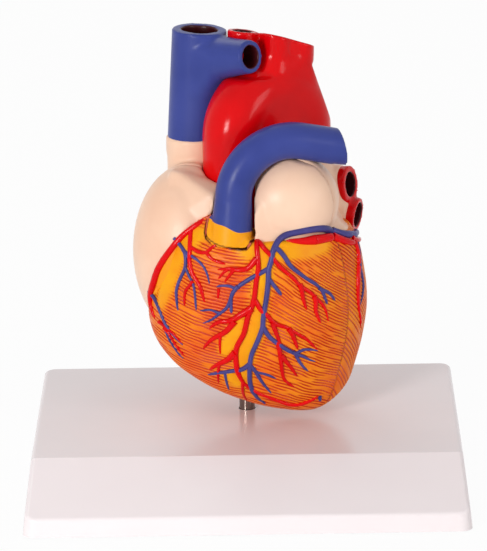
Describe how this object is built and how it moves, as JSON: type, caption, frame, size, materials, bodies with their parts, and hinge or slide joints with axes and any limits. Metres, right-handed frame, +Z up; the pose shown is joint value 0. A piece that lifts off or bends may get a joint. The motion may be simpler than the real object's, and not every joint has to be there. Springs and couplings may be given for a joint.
{
  "type": "human heart anatomy model",
  "caption": "Life-size anatomical heart on a rod and white sloping base, with a front wall that comes off to show the chambers and valves.",
  "frame": {"origin": "centre of the stand's footprint, on the surface it stands on", "axes": "+Z up, -Y towards the viewer (the front of the heart and the base's sloping front), +X to the viewer's right"},
  "size_m": [0.222, 0.193, 0.2254],
  "materials": {
    "white_plastic": "glossy white moulded plastic",
    "rubber": "soft grey rubber",
    "nylon": "natural nylon",
    "dark_chrome": "polished dark chrome",
    "plated_steel": "zinc plated steel",
    "magnet_nickel": "nickel plated magnet",
    "heart_muscle": "orange paint over carved fibres, satin gloss",
    "inner_muscle": "dark red paint, satin",
    "atrium_skin": "pale skin coloured satin plastic",
    "vein_blue": "glossy blue paint",
    "artery_red": "glossy red paint",
    "valve_cream": "cream paint"
  },
  "bodies": {
    "stand": {"stand_base": "white_plastic", "base_feet": "rubber", "rod_bush": "nylon"},
    "rod": {"stand_rod": "dark_chrome", "rod_washer": "plated_steel", "rod_screw": "plated_steel"},
    "heart": {"rod_socket": "plated_steel", "rear_ventricles": "heart_muscle", "right_atrium": "atrium_skin", "left_atrium": "atrium_skin", "superior_vena_cava": "vein_blue", "inferior_vena_cava": "vein_blue", "aorta": "artery_red", "pulmonary_trunk": "vein_blue", "right_pulmonary_artery": "vein_blue", "left_pulmonary_veins": "artery_red", "right_pulmonary_veins": "artery_red", "mitral_valve": "valve_cream", "tricuspid_valve": "valve_cream", "left_papillary_muscles": "inner_muscle", "right_papillary_muscles": "inner_muscle", "tendinous_cords": "valve_cream", "locating_pins": "plated_steel", "rear_magnets": "magnet_nickel"},
    "front_wall": {"front_ventricle_wall": "heart_muscle", "right_auricle": "atrium_skin", "left_auricle": "atrium_skin", "front_magnets": "magnet_nickel"}
  },
  "joints": [
    {"name": "heart_turn", "type": "hinge", "parent": "stand", "child": "rod", "pos_m": [0, 0.022, 0.028], "axis": [0, 0, 1], "continuous": true},
    {"name": "heart_lift", "type": "slide", "parent": "rod", "child": "heart", "axis": [0, 0, 1], "range_m": [0, 0.07]},
    {"name": "front_wall_off", "type": "slide", "parent": "heart", "child": "front_wall", "axis": [-0.3387, -0.9409, 0], "range_m": [0, 0.1]}
  ]
}
